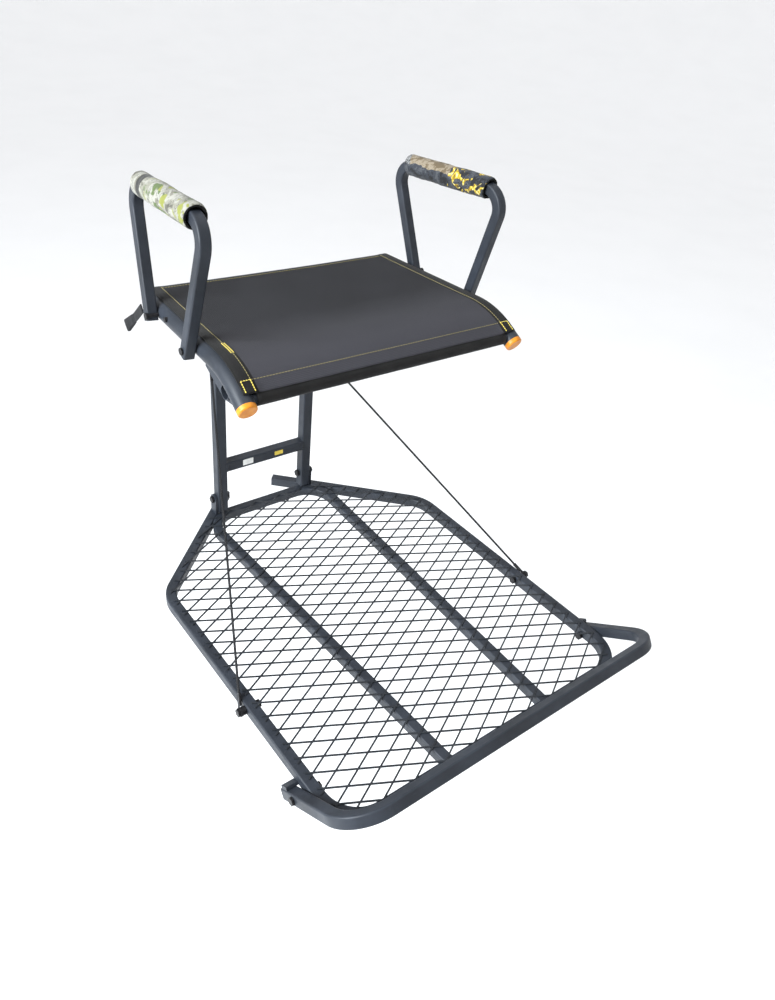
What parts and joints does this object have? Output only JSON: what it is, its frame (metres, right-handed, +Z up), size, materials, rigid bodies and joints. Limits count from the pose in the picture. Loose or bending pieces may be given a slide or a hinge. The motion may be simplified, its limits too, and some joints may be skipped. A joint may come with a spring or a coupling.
{
  "type": "hang-on tree stand",
  "caption": "Hunting tree stand with a folding expanded-mesh platform, cable stays, flip-up fabric sling seat, padded armrests and a footrest rail.",
  "frame": {"origin": "centre plane of the post, on the symmetry plane, level with the centre of the platform's tubes", "axes": "+X towards the right of a viewer who faces the front, -Y to the front, +Y towards the tree, +Z up"},
  "size_m": [0.689, 0.8808, 0.7669],
  "materials": {
    "frame_steel": "satin dark charcoal powder coat",
    "mesh_steel": "satin dark charcoal powder coat",
    "hardware": "black zinc",
    "cable": "black wire rope",
    "cable_fittings": "blackened",
    "sling_fabric": "open woven mesh with yellow stitching",
    "pad_right": "brown leaf-pattern fleece",
    "pad_left": "pale leaf-pattern fleece",
    "cap_orange": "semi-gloss",
    "plug_black": "matte",
    "label_white": "blank",
    "label_yellow": "blank"
  },
  "bodies": {
    "post": {"post_upright_right": "frame_steel", "post_upright_left": "frame_steel", "post_upper_crossbar": "frame_steel", "post_top_crossbar": "frame_steel", "upright_top_caps": "plug_black", "blank_label_white": "label_white", "blank_label_yellow": "label_yellow", "tree_bracket": "frame_steel", "strap_pins": "frame_steel", "seat_rest_gussets": "frame_steel", "seat_rest_bar": "frame_steel", "platform_pivot_bolts": "hardware", "platform_pivot_nuts": "hardware", "cable_upper_eyes": "cable_fittings", "support_cable_right": "cable", "support_cable_left": "cable", "cable_upper_bolts": "hardware", "cable_upper_nuts": "hardware", "seat_pivot_bolts": "hardware", "seat_pivot_nuts": "hardware", "seat_pivot_washers": "hardware"},
    "platform": {"platform_outer_tube": "frame_steel", "platform_inner_tube": "frame_steel", "platform_mesh": "mesh_steel", "platform_hinge_ears": "frame_steel", "cable_lower_eyes": "cable_fittings", "cable_lower_bolts": "hardware", "cable_lower_nuts": "hardware", "cable_lower_spacers": "hardware", "footrest_pivot_bolts": "hardware", "footrest_pivot_nuts": "hardware", "footrest_stop_lugs": "frame_steel"},
    "footrest": {"footrest_tube": "frame_steel", "footrest_end_plugs": "plug_black"},
    "seat": {"seat_rail_right": "frame_steel", "seat_rail_left": "frame_steel", "rail_front_caps": "cap_orange", "rail_rear_plugs": "plug_black", "seat_rear_crossbar": "frame_steel", "seat_front_crossbar": "frame_steel", "sling_front_bar": "frame_steel", "seat_hanger_plates": "frame_steel", "seat_hinge_arms": "frame_steel", "seat_sling": "sling_fabric", "sling_front_hem": "sling_fabric", "sling_screws": "hardware", "armrest_loop_right": "frame_steel", "armrest_loop_left": "frame_steel", "arm_pad_right": "pad_right", "arm_pad_left": "pad_left", "armrest_bolts": "hardware", "armrest_nuts": "hardware"}
  },
  "joints": [
    {"name": "platform_fold", "type": "hinge", "parent": "post", "child": "platform", "pos_m": [0, 0.002, 0.044], "axis": [-1, 0, 0], "range_deg": [0, 36], "deforming": ["support_cable_right", "support_cable_left"]},
    {"name": "seat_flip", "type": "hinge", "parent": "post", "child": "seat", "pos_m": [0, 0, 0.494], "axis": [-1, 0, 0], "range_deg": [0, 85]},
    {"name": "footrest_flip", "type": "hinge", "parent": "platform", "child": "footrest", "pos_m": [0, -0.67, -0.0068], "axis": [-1, 0, 0], "range_deg": [0, 95]}
  ]
}
